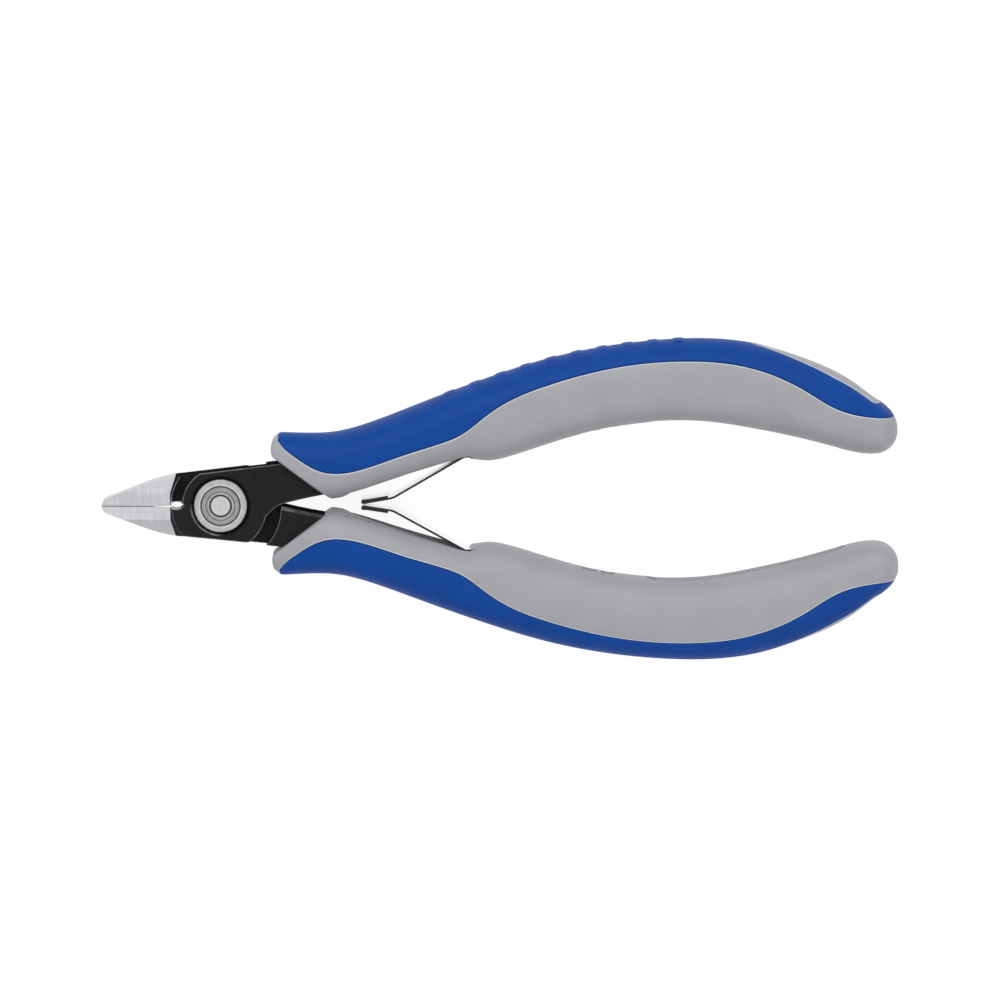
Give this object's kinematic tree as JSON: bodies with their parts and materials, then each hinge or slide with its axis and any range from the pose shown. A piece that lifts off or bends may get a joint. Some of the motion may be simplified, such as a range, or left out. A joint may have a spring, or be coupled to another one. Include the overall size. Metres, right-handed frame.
{
  "type": "diagonal cutting pliers",
  "caption": "Slim side cutters with a bolted lap joint, bevelled ground jaws, curved two-component grips and a two-leaf opening spring.",
  "frame": {"origin": "middle of the underside: halfway between jaw tips and handle ends, on the surface that the grips rest on", "axes": "+X from the jaws to the ends of the handles, +Y towards the handle of the front half, +Z along the joint's axis, out of the face with the nut"},
  "size_m": [0.125, 0.0506, 0.0124],
  "materials": {
    "arm_steel": "black oxide with bright ground jaws",
    "turned_steel": "turned, fine rings",
    "spring_steel": "bright rolled strip",
    "hard_plastic": "fine satin",
    "soft_plastic": "satin soft plastic"
  },
  "bodies": {
    "front_half": {"front_arm": "arm_steel", "pivot_bolt": "turned_steel", "pivot_nut": "turned_steel", "upper_grip_core": "hard_plastic", "upper_grip_cover": "soft_plastic"},
    "rear_half": {"rear_arm": "arm_steel", "lower_grip_core": "hard_plastic", "lower_grip_cover": "soft_plastic"},
    "upper_leaf": {"upper_spring": "spring_steel"},
    "lower_leaf": {"lower_spring": "spring_steel"}
  },
  "joints": [
    {"name": "pivot", "type": "hinge", "parent": "front_half", "child": "rear_half", "pos_m": [-0.0438, 0, 0.00623], "axis": [0, 0, -1], "range_deg": [0, 14], "stiffness_Nm_per_rad": 1.2, "springref_deg": 20.05},
    {"name": "upper_leaf_bend", "type": "hinge", "parent": "front_half", "child": "upper_leaf", "pos_m": [-0.0053, 0.0074, 0.00623], "axis": [0, 0, 1], "range_deg": [0, 10.7]},
    {"name": "lower_leaf_bend", "type": "hinge", "parent": "rear_half", "child": "lower_leaf", "pos_m": [-0.0053, -0.0074, 0.00623], "axis": [0, 0, -1], "range_deg": [0, 10.7]}
  ],
  "couplings": [
    {"joint": "upper_leaf_bend", "follows": "pivot", "ratio": 0.76},
    {"joint": "lower_leaf_bend", "follows": "pivot", "ratio": 0.76}
  ]
}
